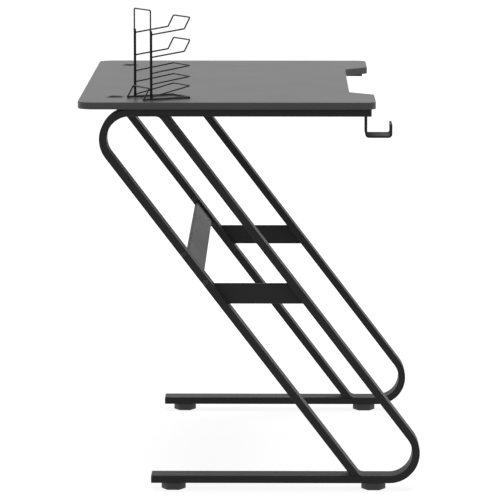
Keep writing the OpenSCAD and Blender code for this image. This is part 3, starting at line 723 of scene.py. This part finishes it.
glide_moulding = finish("glide_moulding", ((0.120, 0.120, 0.121), (0.136, 0.136, 0.137)),
                        (0.50, 0.60), 0.0010, 0.00003, specular=0.45)
stud_r, stud_root, stud_plain, stud_lead, pad_ease = 0.004, 0.00075, 0.0095, 0.0008, 0.0006
for corner in ("left_front", "left_rear", "right_front", "right_rear"):
    body = corner + "_glide"
    pad = eased_copy(body, corner + "_pad", pad_ease)
    coat(shown(corner + "_pad", pad, body, corner + "_glide"), glide_moulding)
    low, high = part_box(corner + "_stud")
    rings = [(stud_r, low.z, 0, False)]
    rings += thread(stud_r, low.z + stud_plain, high.z - stud_lead, stud_pitch, stud_pitch * 0.5)
    rings.append((stud_r - stud_root, high.z, 0, False))
    stud = turned(corner + "_threaded_stud", rings, fastener_sides, stud_pitch)
    stud.transform(Matrix.Translation(((low.x + high.x) / 2, (low.y + high.y) / 2, 0)))
    coat(shown(corner + "_threaded_stud", stud, body, corner + "_stud"), zinc_plate)

# Headphone hook. A wide strap of steel bent to a J, its edges eased, under a paler and more matte
# powder than the legs', and screwed to the underside of the board with two pan-head screws.
strap_ease = 0.0005
hook_strap = eased_copy("headphone_hook", "hook_strap", strap_ease)
hook_coat = finish("hook_coat", ((0.150, 0.150, 0.150), (0.172, 0.172, 0.172)),
                   (0.62, 0.70), 0.0015, 0.00002, specular=0.0)
coat(shown("hook_strap", hook_strap, "desk", "headphone_hook"), hook_coat)

hook_boxes = solids_of("hook_screws")
screw_head_r, screw_head_h, screw_r, screw_pitch, screw_cut = 0.004, 0.0024, 0.002, 0.0018, 0.0006
recess_floor_r, recess_r, recess_depth = 0.0006, 0.0010, 0.0012
screw_plain, screw_tip_r, screw_tip = 0.0004, 0.0003, 0.002
screw_length = hook_boxes[0][1].z - hook_boxes[0][0].z - screw_head_h
screw_rings = [(recess_floor_r, -screw_head_h + recess_depth, 0, False),
               (recess_r, -screw_head_h, 0, False), (screw_head_r * 0.72, -screw_head_h, 0, False),
               (screw_head_r * 0.93, -screw_head_h * 0.72, 0, False),
               (screw_head_r, -screw_head_h * 0.3, 0, False), (screw_head_r - 0.0001, 0, 0, False),
               (screw_r, 0, 0, False)]
screw_rings += thread(screw_r, screw_plain, screw_length - screw_tip, screw_pitch, screw_cut)
screw_rings.append((screw_tip_r, screw_length, 0, False))
hook_screw = turned("hook_screw", screw_rings, fastener_sides, screw_pitch)
fastener_set("hook_wood_screws", "hook_screws", hook_screw, upright_seats(hook_boxes, screw_head_h),
             black_steel)

# Controller rack. Black coated steel wire, bent and spot welded: a base open at the rear, two
# matte posts with rounded tops, a loop on them, two controller hooks, three shelves and a stay.
rack_w, rack_reach, rack_heel, rack_h, post_h = 0.067, 0.0835, 0.016, 0.1725, 0.132
post_d, base_d, loop_d, shelf_d, weld_gap, wire_bend = 0.005, 0.004, 0.003, 0.0027, 0.0003, 0.003
controller_hooks = {"upper": 0.125, "lower": 0.082}
shelves = {"top": (0.0515, 0.0115), "middle": (0.0305, 0.0115), "bottom": (0.0065, 0.0175)}
hook_tip, hook_slope, hook_rise = 0.012, 0.0085, 0.030
rack_turn = 29.4
rack_place = (Matrix.Translation((-0.383, 0.20375, 0.7503))
              @ Matrix.Rotation(math.radians(rack_turn), 4, "Z"))
half_rack, post_r = rack_w / 2, post_d / 2
arm_y, loop_y, stay_z, wire_lap = -post_r - weld_gap, (post_d - loop_d) / 2, 0.023, 0.001
wire_coat = finish("wire_coat", ((0.030, 0.030, 0.031), (0.040, 0.040, 0.041)),
                   (0.30, 0.40), 0.0012, 0.00004, specular=0.35, cloud=0.02)

wire_tree, wire_in = geometry_tree("bent_wire", (("Radius", "Float"), ("Bend Radius", "Float"),
                                                 ("Coating", "Material")))
wire_line = step(wire_tree, "GeometryNodeMeshToCurve", {"Mesh": wire_in["Geometry"]})
wire_bent = step(wire_tree, "GeometryNodeFilletCurve",
                 {"Curve": wire_line, "Radius": wire_in["Bend Radius"], "Count": 10,
                  "Limit Radius": True}, mode="POLY")
wire_round = step(wire_tree, "GeometryNodeCurvePrimitiveCircle",
                  {"Resolution": 24, "Radius": wire_in["Radius"]}, mode="RADIUS")
wire_solid = step(wire_tree, "GeometryNodeCurveToMesh",
                  {"Curve": wire_bent, "Profile Curve": wire_round, "Fill Caps": True})
finished(wire_tree, wire_solid, wire_in["Coating"])


def bent_wire(name, node, corners, diameter):
    """One wire of the rack through these corners, given in the rack's own frame."""
    guide = bpy.data.meshes.new(name + "_line")
    guide.from_pydata([rack_place @ Vector(corner) for corner in corners],
                      [(i, i + 1) for i in range(len(corners) - 1)], [])
    mesh = made_by(wire_tree, guide, {"Radius": diameter / 2, "Bend Radius": wire_bend,
                                      "Coating": wire_coat}, name)
    smooth(mesh, 50)
    shown(name, mesh, "controller_rack", node)


def both_sides(profile):
    """A wire that follows a side profile, crosses over and comes back along it."""
    near = [(-half_rack, y, z) for y, z in profile]
    return near + [(half_rack, y, z) for y, z in reversed(profile)]


bent_wire("rack_base_wire", "rack_base",
          both_sides([(rack_heel + loop_d / 2, base_d / 2), (-rack_reach, base_d / 2)]), base_d)
bent_wire("rack_top_wire", "rack_top_loop",
          both_sides([(loop_y, post_h - wire_lap), (loop_y, rack_h - loop_d / 2)]), loop_d)
for level, height in controller_hooks.items():
    bent_wire(f"rack_{level}_controller_hook", f"rack_{level}_hook",
              both_sides([(arm_y, height), (-rack_reach + hook_tip, height + hook_slope),
                          (-rack_reach, height + hook_rise)]), loop_d)
for level, (height, slope) in shelves.items():
    bent_wire(f"rack_{level}_shelf_wire", f"rack_{level}_shelf",
              both_sides([(arm_y, height), (-rack_reach, height + slope)]), shelf_d)
bent_wire("rack_stay_wire", "rack_rear_stay",
          both_sides([(rack_heel - wire_lap, base_d), ((post_d + loop_d) / 2, stay_z)]), loop_d)

post_coat = finish("post_coat", ((0.040, 0.040, 0.041), (0.048, 0.048, 0.049)),
                   (0.60, 0.68), 0.0012, 0.00003, specular=0.1, cloud=0.02)
post_dome, post_sides = post_r * 0.6, 32
post_rings = [(post_r, base_d, 0, False), (post_r, post_h - post_dome, 0, False)]
post_rings += [(post_r * math.cos(math.radians(a)),
                post_h - post_dome * (1 - math.sin(math.radians(a))), 0, False)
               for a in (20, 40, 60, 78)]
for side, x in (("left", -half_rack), ("right", half_rack)):
    post = turned(f"rack_{side}_post_rod", post_rings, post_sides)
    post.transform(rack_place @ Matrix.Translation((x, 0, 0)))
    coat(shown(f"rack_{side}_post_rod", post, "controller_rack", f"rack_{side}_post"),
         post_coat)

# Spot welds of the rack. A small squeezed bead where each wire meets a post or the base, under the
# same coating.
spot_tree, spot_in = geometry_tree("spot_welds", (("Radius", "Float"), ("Coating", "Material")))
spot_bead = step(spot_tree, "GeometryNodeMeshUVSphere",
                 {"Segments": 16, "Rings": 10, "Radius": spot_in["Radius"]})
spots_placed = step(spot_tree, "GeometryNodeInstanceOnPoints",
                    {"Points": spot_in["Geometry"], "Instance": spot_bead,
                     "Scale": (1.0, 1.0, 0.8)})
spots_real = step(spot_tree, "GeometryNodeRealizeInstances", {"Geometry": spots_placed})
finished(spot_tree, step(spot_tree, "GeometryNodeSetShadeSmooth", {"Geometry": spots_real}),
         spot_in["Coating"])
spot_r, stay_spot_z = 0.0021, 0.021
arm_heights = [*controller_hooks.values(), *(height for height, slope in shelves.values())]
spot_places = []
for x in (-half_rack, half_rack):
    spot_places += [(x, -post_r, height) for height in arm_heights]
    spot_places += [(x, loop_y, post_h - weld_gap), (x, 0, base_d),
                    (x, rack_heel - wire_lap, base_d), (x, post_r, stay_spot_z)]
spot_guide = bpy.data.meshes.new("rack_spot_places")
spot_guide.from_pydata([rack_place @ Vector(place) for place in spot_places], [], [])
spot_mesh = made_by(spot_tree, spot_guide, {"Radius": spot_r, "Coating": wire_coat},
                    "rack_spot_welds")
shown("rack_spot_welds", spot_mesh, "controller_rack", None)
